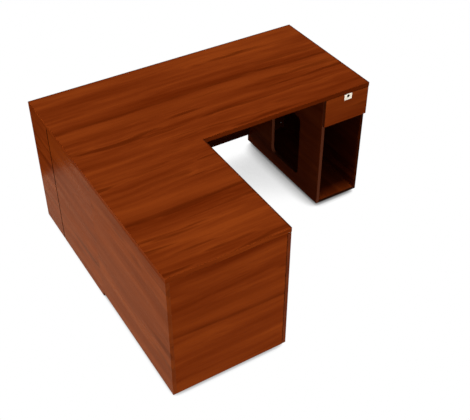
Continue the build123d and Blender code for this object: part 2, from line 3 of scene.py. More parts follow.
import bpy
from bpy.props import FloatProperty, FloatVectorProperty, PointerProperty
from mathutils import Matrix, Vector


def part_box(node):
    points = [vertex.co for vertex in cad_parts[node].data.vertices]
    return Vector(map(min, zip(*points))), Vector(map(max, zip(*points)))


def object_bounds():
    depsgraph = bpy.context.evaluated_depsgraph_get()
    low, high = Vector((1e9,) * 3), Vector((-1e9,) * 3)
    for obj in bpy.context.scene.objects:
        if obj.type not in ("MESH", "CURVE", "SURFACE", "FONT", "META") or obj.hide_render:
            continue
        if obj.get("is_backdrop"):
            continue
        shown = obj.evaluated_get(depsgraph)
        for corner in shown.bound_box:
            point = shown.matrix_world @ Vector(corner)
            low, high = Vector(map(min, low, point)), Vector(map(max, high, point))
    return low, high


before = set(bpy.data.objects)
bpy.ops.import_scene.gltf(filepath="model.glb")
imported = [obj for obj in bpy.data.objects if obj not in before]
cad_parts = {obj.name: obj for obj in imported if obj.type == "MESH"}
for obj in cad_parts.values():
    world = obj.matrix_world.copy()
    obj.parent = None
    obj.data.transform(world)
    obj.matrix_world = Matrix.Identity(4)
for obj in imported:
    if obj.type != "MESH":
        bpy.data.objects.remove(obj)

bl_info = {
    "name": "Corner desk finishes",
    "version": (1, 0, 0),
    "blender": (4, 5, 0),
    "location": "3D View > Sidebar > Corner Desk",
    "description": "Mahogany laminate, hardware finishes and studio for an L-shaped corner desk",
    "category": "Material",
}

AXES = {"X": Vector((1, 0, 0)), "Y": Vector((0, 1, 0)), "Z": Vector((0, 0, 1))}
FACE_LIMIT = 0.5             # a face looks along an axis where its normal's share is above this
ARRIS_SAMPLES = 4            # rays that round off the arrises
WHITE = (1.0, 1.0, 1.0, 1.0)
BLACK = (0.0, 0.0, 0.0, 1.0)


def srgb(red, green, blue):
    """Linear colour of a display colour given from 0 to 255."""
    def linear(value):
        level = value / 255
        return level / 12.92 if level <= 0.04045 else ((level + 0.055) / 1.055) ** 2.4
    return (linear(red), linear(green), linear(blue), 1.0)


# ------------------------------------------------------------------ settings
def colour(name, description, default):
    return FloatVectorProperty(name=name, description=description, default=default,
                               subtype="COLOR", size=4, min=0.0, max=1.0)


def length(name, description, default):
    return FloatProperty(name=name, description=description, default=default, min=0.0001,
                         subtype="DISTANCE", unit="LENGTH")


def share(name, description, default):
    return FloatProperty(name=name, description=description, default=default,
                         subtype="FACTOR", min=0.0, max=1.0)


def angle(name, description, degrees):
    return FloatProperty(name=name, description=description, default=radians(degrees),
                         subtype="ANGLE", unit="ROTATION")


class DeskLaminateSettings(bpy.types.PropertyGroup):
    """Colours and grain of the mahogany laminate."""
    dark_tone: colour("Dark bands", "Colour of the darker bands", srgb(94, 31, 4))
    mid_tone: colour("Ground", "Colour between the bands", srgb(112, 43, 10))
    light_tone: colour("Light bands", "Colour of the lighter bands", srgb(130, 55, 15))
    # also the colour of the painted shade on the banding in front of the drawer
    vein_and_shade_tone: colour("Veins", "Colour of the few dark wavy streaks", srgb(78, 24, 2))
    pore_tone: colour("Pores", "Colour of the fine pores", srgb(60, 18, 4))
    # painted shade: a thin dark line along the worktop's right and back edges and the return's inner edge
    # stands in for the shade on their arrises
    rim_shade_tone: colour("Rim", "Colour of the thin dark line where faces meet the edging", srgb(50, 18, 8))
    # painted sheen: the warmer, lighter tone on the boards of the left side stands in for the sheen that
    # light gives that side
    side_sheen_tone: colour("Faded side", "Browner colour of the boards on the left side", srgb(133, 65, 14))
    # painted shade and sheen: the darker, greyer tone of the board edges, taken fully on the edges round the
    # computer bay
    edge_shade_sheen_tone: colour("Dark edging", "Colour of the edging round the computer bay", srgb(84, 42, 26))
    # painted shade: the near-black tone on the edges inside the gap of the left side
    gap_shade_tone: colour("Gap", "Stain on the edges inside the gap of the left side", srgb(14, 6, 3))
    figure_width: length("Figure width", "Width of the broad bands across the grain", 0.1)
    band_width: length("Band width", "Width of the narrower bands across the grain", 0.04)
    vein_width: length("Vein width", "Width of the dark streaks across the grain", 0.035)
    fibre_width: length("Fibre width", "Width of the fine lines across the grain", 0.004)
    waviness: length("Waviness", "How far the bands wander sideways", 0.04)
    # width of that line of painted shade
    shade_rim_width: length("Rim width", "Width of the thin dark line along some edges", 0.007)
    roughness: share("Roughness", "Roughness of the laminate's face", 0.3)
    specular: share("Reflection", "Strength of the laminate's reflection", 0.0055)
    side_specular: share("Side reflection", "Strength of the reflection on the left side's boards", 0.0118)
    matt: share("Matt reflection", "Strength of the reflection on the boards of the computer bay", 0.002)
    arris: length("Arris", "Radius of the softened edges", 0.0012)


class DeskHardwareSettings(bpy.types.PropertyGroup):
    """Colours of the metal and plastic fittings."""
    zinc: colour("Zinc plating", "Colour of screws, cams and brackets", (0.62, 0.63, 0.64, 1.0))
    nickel: colour("Satin nickel", "Colour of the bow handles", (0.66, 0.64, 0.6, 1.0))
    lock_plate: colour("Lock plate", "Enamel of the lock plate", srgb(255, 247, 229))
    # painted shade: the black ring round the cylinder and the near-black plug make the keyhole look dark and
    # wide
    keyhole_shade_ring: colour("Lock ring", "Black ring in the enamel round the keyhole", srgb(14, 12, 12))
    plug: colour("Lock plug", "Darkened brass of the key plug", srgb(20, 15, 11))
    white_plastic: colour("White plastic", "Moulded nylon of bushes and inserts", srgb(228, 228, 222))
    black_plastic: colour("Black plastic", "Moulded plastic of feet and catches", srgb(26, 26, 27))
    bumper: colour("Bumper", "Clear rubber of the door bumpers", srgb(225, 225, 220))


class DeskWoodSettings(bpy.types.PropertyGroup):
    """Colours of the foil, the hardboard and the plain woods."""
    maple: colour("Maple foil", "Foil on the boards of the drawer box", srgb(206, 178, 140))
    maple_streak: colour("Maple streaks", "Darker streaks in the maple foil", srgb(176, 142, 102))
    hardboard: colour("Hardboard", "Bottom of the drawer", srgb(142, 104, 70))
    hardboard_streak: colour("Hardboard streaks", "Darker streaks in the hardboard", srgb(112, 78, 50))
    beech: colour("Beech", "Dowels", srgb(214, 178, 134))
    beech_streak: colour("Beech streaks", "Darker streaks in the beech", srgb(186, 146, 102))
    # painted shade: the near-black post behind the gap stands in for the gap's shade
    post: colour("Stained post", "Dark post behind the gap of the left side", srgb(12, 7, 5))
    post_streak: colour("Post streaks", "Darker streaks in the stained post", srgb(6, 4, 3))


class DeskStageSettings(bpy.types.PropertyGroup):
    """Camera, floor and light."""
    camera_place: FloatVectorProperty(name="Camera place", description="Where the camera stands",
                                      default=(-1.77843, -2.89224, 3.05456), subtype="TRANSLATION",
                                      unit="LENGTH")
    camera_tilt: angle("Camera tilt", "Angle up from looking straight down", 50.11)
    camera_turn: angle("Camera turn", "Angle about the vertical", -31.23)
    camera_lens: FloatProperty(name="Camera lens", description="Focal length in millimetres",
                               default=64.3, min=1.0, unit="CAMERA")
    sky: share("Sky", "Share of the light on the top that comes from all round", 0.2)
    front: share("Front light", "Light on the fronts, as a share of the light on the top", 0.7)
    side: share("Side light", "Light on the left side, as a share of the light on the top", 0.7)
    fill: share("Fill light", "Light on the back and right side, as a share of the light on the top", 0.4)
    floor_gain: FloatProperty(name="Floor gain",
                              description="Floor's brightness where it sees the whole sky",
                              default=1.95, min=0.0, subtype="FACTOR")
    near_fall: share("Near shade", "How fast the floor darkens right beside a board in the kneehole", 1.0)
    outer_fall: share("Outer shade", "How fast the floor darkens right beside a board elsewhere", 0.65)
    far_fall: share("Far shade", "How fast the floor darkens under the worktop", 0.45)
    floor_warmth: colour("Floor in reflections", "Pale warm colour of the floor in reflections",
                         (1.0, 0.78, 0.55, 1.0))


# ------------------------------------------------------------------ node tools
def cleared(owner):
    """Node tree of a new material or world, with nothing in it."""
    owner.use_nodes = True
    owner.node_tree.nodes.clear()
    return owner.node_tree


def node(tree, kind, inputs=(), **settings):
    """New node whose sockets are filled with constants or with links from other sockets."""
    made = tree.nodes.new(kind)
    for name, value in settings.items():
        setattr(made, name, value)
    for name, value in dict(inputs).items():
        if isinstance(value, bpy.types.NodeSocket):
            tree.links.new(value, made.inputs[name])
        else:
            made.inputs[name].default_value = value
    return made


def maths(tree, operation, first, second=0.0):
    return node(tree, "ShaderNodeMath", {0: first, 1: second}, operation=operation).outputs[0]


def times(tree, first, second):
    return maths(tree, "MULTIPLY", first, second)


def plus(tree, first, second):
    return maths(tree, "ADD", first, second)


def weighted(tree, *terms):
    """Sum of values, each times its weight."""
    total = None
    for value, weight in terms:
        term = times(tree, value, weight)
        total = term if total is None else plus(tree, total, term)
    return total


def remap(tree, value, start, end, low=0.0, high=1.0):
    """Low before the start, high after the end, and a straight run between."""
    made = node(tree, "ShaderNodeMapRange",
                {"Value": value, "From Min": start, "From Max": end, "To Min": low, "To Max": high})
    return made.outputs["Result"]


def hump(tree, value, start, middle, end):
    """1 where the value is at the middle, down to 0 at the start and the end."""
    return times(tree, remap(tree, value, start, middle), remap(tree, value, end, middle))


def average(tree, *values):
    return weighted(tree, *((value, 1 / len(values)) for value in values))


def vector_math(tree, operation, first, second):
    return node(tree, "ShaderNodeVectorMath", {0: first, 1: second}, operation=operation).outputs[0]


def dot(tree, first, second):
    made = node(tree, "ShaderNodeVectorMath", {0: first, 1: second}, operation="DOT_PRODUCT")
    return made.outputs["Value"]


def spot(tree):
    """Where the shaded point is."""
    return node(tree, "ShaderNodeTexCoord").outputs["Object"]


def split(tree, place):
    """The place's X, Y and Z."""
    return node(tree, "ShaderNodeSeparateXYZ", {0: place}).outputs


def along_normal(tree, direction):
    """Share of a face's normal along a direction."""
    return dot(tree, node(tree, "ShaderNodeTexCoord").outputs["Normal"], direction)


def looks(tree, direction):
    """1 on the faces that look along a direction."""
    return maths(tree, "GREATER_THAN", along_normal(tree, direction), FACE_LIMIT)


def noise(tree, place, cells, detail=2.0, roughness=0.5):
    """Noise from 0 to 1, with so many cells to the metre along each axis."""
    scaled = vector_math(tree, "MULTIPLY", place, cells)
    made = node(tree, "ShaderNodeTexNoise",
                {"Vector": scaled, "Scale": 1.0, "Detail": detail, "Roughness": roughness})
    return made.outputs["Fac"]


def mix(tree, factor, first, second):
    """Mix of two colours, which are the node's sockets 6 and 7."""
    made = node(tree, "ShaderNodeMix", {0: factor, 6: first, 7: second}, data_type="RGBA")
    return made.outputs[2]


def ramp(tree, factor, stops):
    """Colour ramp through (position, colour) stops."""
    stops = tuple(stops)
    made = node(tree, "ShaderNodeValToRGB", {"Fac": factor})
    elements = made.color_ramp.elements
    while len(elements) < len(stops):
        elements.new(0.5)
    for element, (position, tone) in zip(elements, stops):
        element.position = position
        element.color = tone
    return made.outputs["Color"]


def darkened(tone, level):
    """The colour at this share of its brightness."""
    return tuple(level * channel for channel in tone[:3]) + (1.0,)


def softened_normal(tree, radius):
    """Normal that runs smoothly round the arrises, and how far it turns: 0.3 on a square arris."""
    bevel = node(tree, "ShaderNodeBevel", {"Radius": radius}, samples=ARRIS_SAMPLES)
    flat = node(tree, "ShaderNodeNewGeometry").outputs["Normal"]
    turn = maths(tree, "SUBTRACT", 1.0, dot(tree, bevel.outputs["Normal"], flat))
    return bevel.outputs["Normal"], turn


def bump(tree, height, distance, normal=None):
    inputs = {"Height": height, "Distance": distance, "Strength": 1.0}
    if normal is not None:
        inputs["Normal"] = normal
    return node(tree, "ShaderNodeBump", inputs).outputs["Normal"]


def new_material(name, **constants):
    """Material with one shader; the constants are set on the shader's own sockets."""
    material = bpy.data.materials.new(name)
    tree = cleared(material)
    shader = node(tree, "ShaderNodeBsdfPrincipled", constants)
    node(tree, "ShaderNodeOutputMaterial", {"Surface": shader.outputs["BSDF"]})
    return material, tree, shader


def connect(tree, shader, tone, roughness, normal):
    for name, output in (("Base Color", tone), ("Roughness", roughness), ("Normal", normal)):
        tree.links.new(output, shader.inputs[name])


def dress(material, *names):
    """The CAD nodes named take this material."""
    for name in names:
        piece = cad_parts[name]
        if not piece.material_slots:
            piece.data.materials.append(material)
        for slot in piece.material_slots:
            slot.material = material


# ------------------------------------------------------------------ wood
CUT_SPACING = Vector((1.7, 0.61, 0.37))  # from the grain of one cut to that of the next

# cells of noise to the metre, along the grain and across it
DRIFT_CELLS = (1.1, 2.2, 2.2)
RIPPLE_CELLS = (4.0, 6.0, 6.0)
PATCH_CELLS = (1.2, 5.0, 5.0)
PORE_CELLS = (22.0, 900.0, 900.0)
BREAK_CELLS = (5.0, 5.0, 5.0)
SCUFF_CELLS = (60.0, 60.0, 60.0)
FIGURE_ALONG = 0.8
BAND_ALONG = 1.3
VEIN_ALONG = 2.2
FIBRE_ALONG = 5.0

# noise at which each layer starts to count, and at which it counts fully
PATCH_LIMITS = (0.44, 0.56)
PORE_LIMITS = (0.58, 0.72)
VEIN_LIMITS = (0.56, 0.66)
BAND_LIMITS = (0.3, 0.7)
BREAK_LIMITS = (0.35, 0.65)
SCUFF_LIMITS = (0.35, 0.7)
GLEAM_LIMITS = (0.48, 0.54, 0.6)         # start, middle and end of the gleam beside a vein
TONE_STOPS = (0.36, 0.5, 0.64)           # lightness of the dark, the ground and the light tone
WEAR_LIMITS = (0.0, 0.25)                # turn of the normal from no wear to full wear

# shares of the layers in the lightness
FIGURE_SHARE = 0.46
BAND_SHARE = 0.38
FIBRE_SHARE = 0.16
GLEAM_SHARE = 0.05

# shares of the tones that lie over the others
VEIN_SHARE = 0.6
PORE_SHARE = 0.15
# share of the line of painted shade along the worktop's edges
RIM_SHADE_SHARE = 0.6
STREAK_SHARE = 0.8
GLOW_SHARE = 0.45
# share of the painted shade on the banding in front of the drawer
SHADE_STRIP_SHARE = 0.65
WEAR_SHARE = 0.15

RIPPLE_SHARE = 0.2                       # of the waviness
STREAK_LEAST = 0.45                      # strength of a streak where it is faintest
BAND_ROUGHNESS = 0.04                    # more on the dark bands, less on the light ones
WEAR_ROUGHNESS = 0.1                     # more on a worn arris
STREAK_EDGES = (-0.012, 0.0, 0.02)       # a streak's start, middle and end, from its place
GLOW_EDGES = (0.01, 0.05, 0.12)          # and those of the bright band beside it
SHADE_STRIP_REACH = 0.01                       # from the start of the strip of painted shade to the drawer's face
RELIEF = 0.0001                          # depth of the grain

# the plain woods
PLAIN_ALONG = 6.0
PLAIN_CELLS = (2.0, 24.0, 24.0)
PLAIN_STOPS = (0.35, 0.62)               # noise at which the streaks end and the ground starts
PLAIN_LIMITS = (0.3, 0.7)                # noise between which the roughness runs
PLAIN_SWING = 0.08                       # of the roughness, up and down


def across(along, width):
    """Cells to the metre for marks of this width, so many to the metre along the grain."""
    return (along, 1 / width, 1 / width)


def grain_group(settings):
    """Mahogany grain that runs along X: its tone, relief, change of roughness and sideways wander."""
    group = bpy.data.node_groups.new("mahogany_grain", "ShaderNodeTree")
    group.interface.new_socket("Place", in_out="INPUT", socket_type="NodeSocketVector")
    group.interface.new_socket("Tone", in_out="OUTPUT", socket_type="NodeSocketColor")
    for name in ("Height", "Dull", "Aside"):
        group.interface.new_socket(name, in_out="OUTPUT", socket_type="NodeSocketFloat")
    place = node(group, "NodeGroupInput").outputs["Place"]

    # the marks wander sideways slowly, with a small ripple
    drift = remap(group, noise(group, place, DRIFT_CELLS, detail=1.0), 0.0, 1.0, -1.0, 1.0)
    ripple = remap(group, noise(group, place, RIPPLE_CELLS, detail=1.0), 0.0, 1.0, -1.0, 1.0)
    aside = weighted(group, (drift, settings.waviness), (ripple, settings.waviness * RIPPLE_SHARE))
    shift = node(group, "ShaderNodeCombineXYZ", {"Y": aside, "Z": aside}).outputs[0]
    wavy = vector_math(group, "ADD", place, shift)

    figure = noise(group, wavy, across(FIGURE_ALONG, settings.figure_width), detail=1.5)
    bands = noise(group, wavy, across(BAND_ALONG, settings.band_width), detail=2.5)
    fibres = noise(group, wavy, across(FIBRE_ALONG, settings.fibre_width), roughness=0.6)
    veins = noise(group, wavy, across(VEIN_ALONG, settings.vein_width))
    patches = remap(group, noise(group, place, PATCH_CELLS, detail=0.0), *PATCH_LIMITS)
    pores = remap(group, noise(group, wavy, PORE_CELLS, detail=1.0), *PORE_LIMITS)

    level = weighted(group, (figure, FIGURE_SHARE), (bands, BAND_SHARE), (fibres, FIBRE_SHARE))
    gleam = times(group, hump(group, veins, *GLEAM_LIMITS), patches)
    level = plus(group, level, times(group, gleam, GLEAM_SHARE))
    tone = ramp(group, level, zip(TONE_STOPS, (settings.dark_tone, settings.mid_tone, settings.light_tone)))
    dark = times(group, remap(group, veins, *VEIN_LIMITS, 0.0, VEIN_SHARE), patches)
    tone = mix(group, dark, tone, settings.vein_and_shade_tone)
    tone = mix(group, times(group, pores, PORE_SHARE), tone, settings.pore_tone)
    height = maths(group, "SUBTRACT", fibres, pores)
    dull = remap(group, bands, *BAND_LIMITS, BAND_ROUGHNESS, -BAND_ROUGHNESS)
    node(group, "NodeGroupOutput", {"Tone": tone, "Height": height, "Dull": dull, "Aside": aside})
    return group


def grain_place(tree, along, seed):
    """The desk's places turned so that the grain runs along X, in the seed's cut of it."""
    place = split(tree, spot(tree))
    order = {"X": "XYZ", "Y": "YXZ", "Z": "ZYX"}[along]
    turned = node(tree, "ShaderNodeCombineXYZ", {i: place[axis] for i, axis in enumerate(order)})
    return vector_math(tree, "ADD", turned.outputs[0], CUT_SPACING * seed)


def grain_at(tree, settings, place):
    """The grain's outputs at a place."""
    group = bpy.data.node_groups.get("mahogany_grain") or grain_group(settings)
    return node(tree, "ShaderNodeGroup", {"Place": place}, node_tree=group).outputs


def streaked(tree, settings, grain, direction, streaks):
    """The grain's tone with a few long dark streaks that have a bright band beside them.

    Each streak is its place along the direction, the sign of its bright side, and its strength.
    """
    line = plus(tree, dot(tree, spot(tree), direction), grain["Aside"])
    broken = noise(tree, spot(tree), BREAK_CELLS, detail=1.0)
    broken = remap(tree, broken, *BREAK_LIMITS, STREAK_LEAST, 1.0)
    tone = grain["Tone"]
    for place, side, strength in streaks:
        offset = maths(tree, "SUBTRACT", line, place)
        dark = times(tree, hump(tree, offset, *STREAK_EDGES), broken)
        glow = hump(tree, times(tree, offset, side), *GLOW_EDGES)
        tone = mix(tree, times(tree, glow, GLOW_SHARE * strength), tone, settings.light_tone)
        tone = mix(tree, times(tree, dark, STREAK_SHARE * strength), tone, settings.vein_and_shade_tone)
    return tone


def beyond(tree, axis, limit):
    """1 where a point is past the limit along an axis."""
    return maths(tree, "GREATER_THAN", split(tree, spot(tree))[axis], limit)


def worktop_shade_rim(tree, settings):
    """1 on the rim of painted shade along the worktop's right and back edges, and along its return's inner
    edge.
    """
    leg_front = 0.0          # place along Y of the main leg's front edge, where the return starts
    width = settings.shade_rim_width
    right, back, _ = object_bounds()[1]
    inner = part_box("door_end")[1][0]
    in_front = maths(tree, "LESS_THAN", split(tree, spot(tree))["Y"], leg_front)
    along_return = times(tree, beyond(tree, "X", inner - width), in_front)
    far = maths(tree, "MAXIMUM", beyond(tree, "X", right - width), beyond(tree, "Y", back - width))
    return maths(tree, "MAXIMUM", along_return, far)


def laminate(context, name, along, thin, seed, edging=0.2, side_sheen=0.0, gloss="specular",
             inward=None, streaks=(), shade_rimmed=False):
    """Laminated board with grain along one axis, and edging on the faces off its thin axis.

    The seed picks the cut of the grain. The edging takes this share of the edge tone, which is painted
    shade and sheen, and the board this share of the side's painted warm sheen. The gloss names the
    setting for the strength of the reflection. The face that looks inward, into the gap of the left
    side, is darkened with painted shade.
    """
    settings = context.scene.desk_laminate
    material, tree, shader = new_material(name, **{"Specular IOR Level": getattr(settings, gloss)})
    grain = grain_at(tree, settings, grain_place(tree, along, seed))
    tone = grain["Tone"]
    if streaks:
        across_axis = next(axis for axis in "XYZ" if axis not in along + thin)
        tone = streaked(tree, settings, grain, AXES[across_axis], streaks)
    # painted shade: a thin dark line along the worktop's right and back edges
    if shade_rimmed:
        tone = mix(tree, times(tree, worktop_shade_rim(tree, settings), RIM_SHADE_SHARE), tone, settings.rim_shade_tone)
    # painted sheen on the boards of the left side
    tone = mix(tree, side_sheen, tone, settings.side_sheen_tone)
    # painted shade and sheen on the edges off the board's thin axis
    facing = maths(tree, "ABSOLUTE", along_normal(tree, AXES[thin]))
    edge = maths(tree, "LESS_THAN", facing, FACE_LIMIT)
    tone = mix(tree, times(tree, edge, edging), tone, settings.edge_shade_sheen_tone)
    # painted shade on the face that looks into the gap of the left side
    if inward is not None:
        tone = mix(tree, looks(tree, inward), tone, settings.gap_shade_tone)

    rounded, turn = softened_normal(tree, settings.arris)
    scuffs = remap(tree, noise(tree, spot(tree), SCUFF_CELLS, detail=3.0), *SCUFF_LIMITS)
    wear = times(tree, remap(tree, turn, *WEAR_LIMITS), scuffs)
    tone = mix(tree, times(tree, wear, WEAR_SHARE), tone, settings.light_tone)
    rough = plus(tree, grain["Dull"], settings.roughness)
    rough = plus(tree, rough, times(tree, wear, WEAR_ROUGHNESS))
    connect(tree, shader, tone, rough, bump(tree, grain["Height"], RELIEF, rounded))
    return material


def edge_banding(context):
    """Thick banding of the worktop: grain along each edge, and painted shade on the strip by the drawer."""
    settings = context.scene.desk_laminate
    material, tree, shader = new_material("mahogany_banding", **{"Specular IOR Level": settings.matt})
    sideways = maths(tree, "ABSOLUTE", along_normal(tree, AXES["X"]))
    sideways = maths(tree, "GREATER_THAN", sideways, FACE_LIMIT)
    # the mix node's sockets 4 and 5 are its vectors
    places = {0: sideways, 4: grain_place(tree, "X", seed=0), 5: grain_place(tree, "Y", seed=3)}
    place = node(tree, "ShaderNodeMix", places, data_type="VECTOR").outputs[1]
    grain = grain_at(tree, settings, place)

    # painted shade: the front banding from the drawer on, inside the L, is darkened toward the vein tone
    drawer_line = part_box("drawer_front")[0][1]
    strip = times(tree, beyond(tree, "Y", drawer_line - SHADE_STRIP_REACH), looks(tree, -AXES["Y"]))
    tone = mix(tree, times(tree, strip, SHADE_STRIP_SHARE), grain["Tone"], settings.vein_and_shade_tone)
    # painted shade: the same dark line on the top faces of the banding
    rim = times(tree, worktop_shade_rim(tree, settings), looks(tree, AXES["Z"]))
    tone = mix(tree, rim, tone, settings.rim_shade_tone)
    rough = plus(tree, grain["Dull"], settings.roughness)
    connect(tree, shader, tone, rough, bump(tree, grain["Height"], RELIEF))
    return material


def plain_wood(name, base, streak, along, roughness=0.6, fibre=0.002, gloss=0.3):
    """Plain board or dowel: a ground colour with fine streaks of another along one axis."""
    material, tree, shader = new_material(name, **{"Specular IOR Level": gloss})
    place = grain_place(tree, along, seed=1)
    fine = noise(tree, place, across(PLAIN_ALONG, fibre), detail=3.0)
    broad = noise(tree, place, PLAIN_CELLS)
    tone = ramp(tree, average(tree, fine, broad), zip(PLAIN_STOPS, (streak, base)))
    rough = remap(tree, fine, *PLAIN_LIMITS, roughness - PLAIN_SWING, roughness + PLAIN_SWING)
    connect(tree, shader, tone, rough, bump(tree, fine, RELIEF))
    return material


# ------------------------------------------------------------------ metal and plastic
METAL_ARRIS = 0.0003                     # radius of the softened edges
METAL_RELIEF = 0.00003                   # depth of the brushed lines
METAL_ALONG = 12.0                       # cells to the metre along the lines
METAL_CELLS = (45.0, 45.0, 45.0)         # and of the blotches
METAL_STOPS = (0.35, 0.6)                # noise at which the dark ends and the full tone starts
METAL_SHADE = 0.78                       # share of the tone where it is darkest
METAL_LIMITS = (0.35, 0.65)              # noise between which the roughness runs
POLISH_LIMITS = (0.0, 0.3)               # turn of the normal from no polish to full polish
POLISH = 0.1                             # how much smoother a worn arris is

MOULDED_ARRIS = 0.0004                   # radius of the softened edges
MOULDED_RELIEF = 0.00002                 # depth of the skin
SKIN_CELLS = (1250.0, 1250.0, 1250.0)
SKIN_LIMITS = (0.3, 0.7)                 # noise between which the roughness runs
SKIN_SWING = 0.06                        # of the roughness, up and down
CLOUD_CELLS = (30.0, 30.0, 30.0)
CLOUD_STOPS = (0.25, 0.5)                # noise at which the dark ends and the full tone starts
CLOUD_SHADE = 0.9                        # share of the tone where it is darkest
RING_BLUR = 0.0006                       # over which the rim of a ring fades


def brushed_metal(name, tone, along, smooth, rough, line=0.0012):
    """Metal with fine lines along one axis and soft blotches, and a roughness between the two given."""
    material, tree, shader = new_material(name, Metallic=1.0)
    place = grain_place(tree, along, seed=2)
    lines = noise(tree, place, across(METAL_ALONG, line))
    level = average(tree, lines, noise(tree, place, METAL_CELLS, detail=3.0))
    shade = ramp(tree, level, zip(METAL_STOPS, (darkened(tone, METAL_SHADE), tone)))
    rounded, turn = softened_normal(tree, METAL_ARRIS)
    worn = times(tree, remap(tree, turn, *POLISH_LIMITS), POLISH)
    roughness = maths(tree, "SUBTRACT", remap(tree, level, *METAL_LIMITS, smooth, rough), worn)
    connect(tree, shader, shade, roughness, bump(tree, lines, METAL_RELIEF, rounded))
    return material


def ringed(tree, tone, ring_tone, centre, radius):
    """The tone with another inside a circle round an axis along Y."""
    offset = vector_math(tree, "SUBTRACT", spot(tree), (centre.x, 0.0, centre.z))
    flat = vector_math(tree, "MULTIPLY", offset, (1.0, 0.0, 1.0))
    reach = node(tree, "ShaderNodeVectorMath", {0: flat}, operation="LENGTH").outputs["Value"]
    return mix(tree, remap(tree, reach, radius, radius - RING_BLUR), tone, ring_tone)


def moulded(name, tone, roughness, ring=None):
    """Moulded plastic, rubber or enamel with a fine skin texture, and a ring of another colour if given."""
    material, tree, shader = new_material(name)
    skin = noise(tree, spot(tree), SKIN_CELLS)
    cloud = noise(tree, spot(tree), CLOUD_CELLS)
    shade = ramp(tree, cloud, zip(CLOUD_STOPS, (darkened(tone, CLOUD_SHADE), tone)))
    if ring is not None:
        shade = ringed(tree, shade, *ring)
    rough = remap(tree, skin, *SKIN_LIMITS, roughness - SKIN_SWING, roughness + SKIN_SWING)
    rounded, _ = softened_normal(tree, MOULDED_ARRIS)
    connect(tree, shader, shade, rough, bump(tree, skin, MOULDED_RELIEF, rounded))
    return material


# ------------------------------------------------------------------ operators
class DESK_OT_worktop(bpy.types.Operator):
    """Finish the L-shaped worktop and its edge banding"""
    bl_idname = "corner_desk.worktop"
    bl_label = "Worktop"

    # place along Y, bright side and strength of each
    streaks = ((0.39, -1.0, 1.0), (-0.385, 1.0, 1.0))

    def execute(self, context):
        # the worktop takes the painted line of shade along its edges
        board = laminate(context, "mahogany_worktop", along="X", thin="Z", seed=0,
                         streaks=self.streaks, shade_rimmed=True)
        dress(board, "worktop")
        dress(edge_banding(context), "worktop_edge_bands")
        return {"FINISHED"}


class DESK_OT_left_end(bpy.types.Operator):
    """Finish the two left gables, the post behind their gap, near-black as painted shade, and the back panel
    """
    bl_idname = "corner_desk.left_end"
    bl_label = "Left end and back"

    # cut of the grain, direction of the gap and share of the painted side sheen
    gables = {"rear": (4, -AXES["Y"], 0.0), "front": (5, AXES["Y"], 0.1)}

    def execute(self, context):
        woods = context.scene.desk_woods
        for place, (seed, inward, side_sheen) in self.gables.items():
            gable = laminate(context, "mahogany_gable_" + place, along="Y", thin="X", seed=seed,
                             side_sheen=side_sheen, gloss="side_specular", inward=inward)
            dress(gable, "left_gable_" + place)
        dress(laminate(context, "mahogany_back", along="X", thin="Y", seed=6), "back_panel")
        # the post is near-black as painted shade in the gap
        post = plain_wood("painted_shade_post", woods.post, woods.post_streak, along="Z", gloss=0.0)
        dress(post, "gable_splice_post")
        return {"FINISHED"}


class DESK_OT_return(bpy.types.Operator):
    """Finish the boards of the return cupboard"""
    bl_idname = "corner_desk.return_cupboard"
    bl_label = "Return cupboard"

    # place along Z, bright side and strength
    end_streaks = ((0.375, 1.0, 0.9),)

    def execute(self, context):
        # the return's side takes some of the painted side sheen
        side = laminate(context, "mahogany_return_side", along="Y", thin="X", seed=7,
                        side_sheen=0.15, gloss="side_specular")
        dress(side, "return_outer_side")
        end = laminate(context, "mahogany_return_end", along="X", thin="Y", seed=8, streaks=self.end_streaks)
        dress(end, "return_end_panel")
        corner = laminate(context, "mahogany_return_corner", along="X", thin="Y", seed=9)
        dress(corner, "return_corner_side")
        floor = laminate(context, "mahogany_return_floor", along="Y", thin="Z", seed=10)
        dress(floor, "return_bottom", "return_front_rail")
        dress(laminate(context, "mahogany_return_shelf", along="Y", thin="Z", seed=11), "return_shelf")
        return {"FINISHED"}


class DESK_OT_doors(bpy.types.Operator):
    """Finish the two doors with their handles, bushes, plates and catches"""
    bl_idname = "corner_desk.doors"
    bl_label = "Doors"

    def execute(self, context):
        hardware = context.scene.desk_hardware
        nickel = brushed_metal("satin_nickel", hardware.nickel, along="Z", smooth=0.26, rough=0.42)
        steel = brushed_metal("plated_plate", hardware.zinc, along="Y", smooth=0.25, rough=0.45)
        nylon = moulded("white_nylon", hardware.white_plastic, roughness=0.45)
        for seed, door in ((12, "door_end"), (13, "door_corner")):
            dress(laminate(context, "mahogany_" + door, along="Y", thin="X", seed=seed, edging=0.5), door)
            dress(nickel, door + "_handle")
            dress(nylon, door + "_bushes")
            dress(steel, door + "_catch_plate", door + "_handle_screws")
        dress(steel, "top_pivot_plates", "bottom_pivot_plates")
        dress(moulded("black_catch", hardware.black_plastic, roughness=0.5), "magnetic_catches")
        dress(moulded("clear_bumper", hardware.bumper, roughness=0.25), "door_bumpers")
        return {"FINISHED"}


class DESK_OT_pedestal(bpy.types.Operator):
    """Finish the boards round the computer bay"""
    bl_idname = "corner_desk.pedestal"
    bl_label = "Pedestal"

    # name, axis of the grain, thin axis, cut of the grain, share of the edging's painted shade and sheen,
    # and pieces
    boards = (
        ("left", "Y", "X", 14, 1.0, ("pedestal_left_side",)),
        ("right", "Y", "X", 15, 0.0, ("pedestal_right_side",)),
        ("back", "X", "Y", 16, 1.0, ("pedestal_back",)),
        ("floor", "Y", "Z", 17, 1.0, ("pedestal_bottom", "drawer_dust_panel")),
    )

    def execute(self, context):
        for name, along, thin, seed, edging, pieces in self.boards:
            board = laminate(context, "mahogany_pedestal_" + name, along, thin, seed,
                             edging=edging, gloss="matt")
            dress(board, *pieces)
        return {"FINISHED"}


